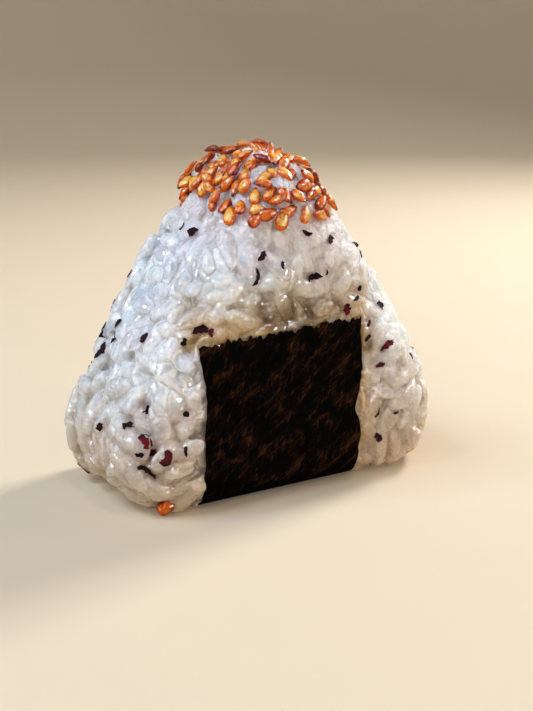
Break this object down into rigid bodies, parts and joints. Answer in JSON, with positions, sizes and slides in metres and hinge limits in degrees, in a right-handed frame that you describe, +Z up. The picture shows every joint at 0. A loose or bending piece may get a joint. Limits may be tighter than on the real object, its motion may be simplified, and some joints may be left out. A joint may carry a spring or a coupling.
{
  "type": "onigiri rice ball",
  "caption": "Triangular onigiri standing on its base: pressed rice with red shiso flakes, toasted sesame seeds on the crown and a nori strip wrapped under it from front to back.",
  "frame": {"origin": "middle of the base, on the surface that the rice ball stands on", "axes": "+X along the base from left to right as seen from the front, +Y from the front face to the back face, +Z up"},
  "size_m": [0.0647, 0.034, 0.0564],
  "materials": {
    "rice": "moist, glossy, slightly translucent cooked rice",
    "nori": "dried seaweed sheet, brown-black, fibrous, satin",
    "sesame": "toasted sesame seeds, glossy orange-brown with dark tips",
    "shiso": "crumbled dried red shiso leaf, purple-black"
  },
  "bodies": {
    "root": {"rice_ball": "rice", "nori_strip": "nori"}
  },
  "joints": []
}
